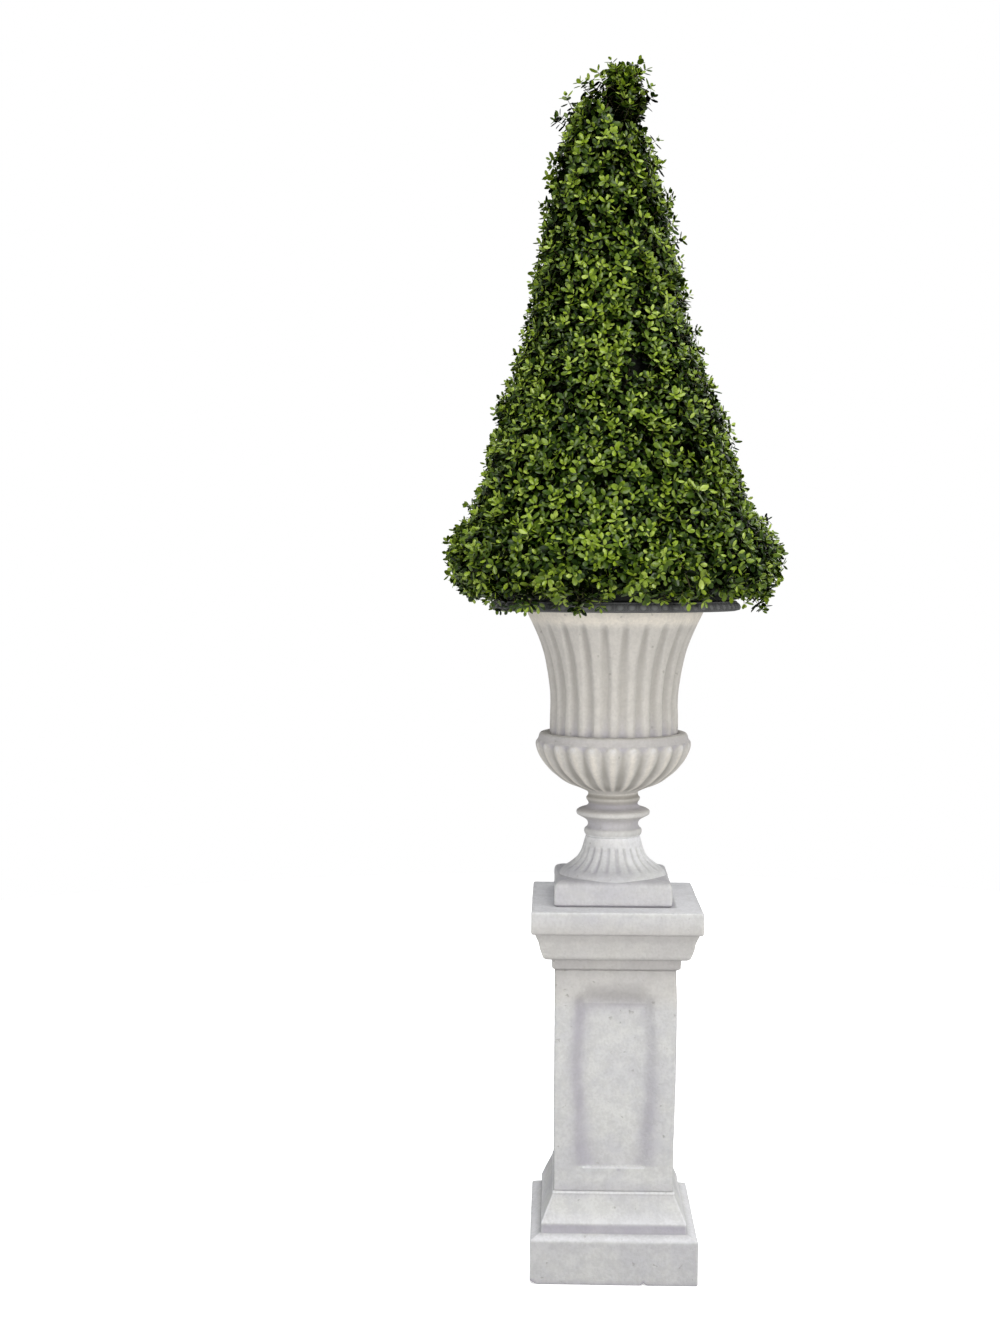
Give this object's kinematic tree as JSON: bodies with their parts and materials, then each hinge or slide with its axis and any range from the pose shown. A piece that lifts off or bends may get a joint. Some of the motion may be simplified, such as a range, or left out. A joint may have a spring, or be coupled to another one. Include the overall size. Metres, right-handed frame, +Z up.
{
  "type": "artificial boxwood cone topiary with urn and pedestal",
  "caption": "Clipped cone of artificial boxwood with a flared skirt, in a fluted stone-effect urn with a dark rim, on a square panelled pedestal.",
  "frame": {"origin": "centre of the pedestal's flat underside", "axes": "+Z up through the tip, -Y towards the front face of the pedestal, +X to the right seen from the front"},
  "size_m": [0.6394, 0.6376, 2.2022],
  "materials": {
    "cast_stone": "matt ivory stone effect with a grey-lilac wash in the recesses",
    "slate_rim": "matt dark slate grey",
    "filling": "matt dark brown",
    "stem": "rough dark bark",
    "foliage": "softly glossy green leaves"
  },
  "bodies": {
    "root": {"pedestal_plinth": "cast_stone", "pedestal_base_mould": "cast_stone", "pedestal_shaft": "cast_stone", "pedestal_cornice": "cast_stone", "pedestal_cap": "cast_stone", "urn_block": "cast_stone", "urn_foot": "cast_stone", "urn_knop": "cast_stone", "urn_bowl": "cast_stone", "urn_bell": "cast_stone", "urn_rim": "slate_rim", "urn_fill": "filling", "stem": "stem", "foliage_skirt": "foliage", "foliage_cone": "foliage", "foliage_top": "foliage"}
  },
  "joints": []
}
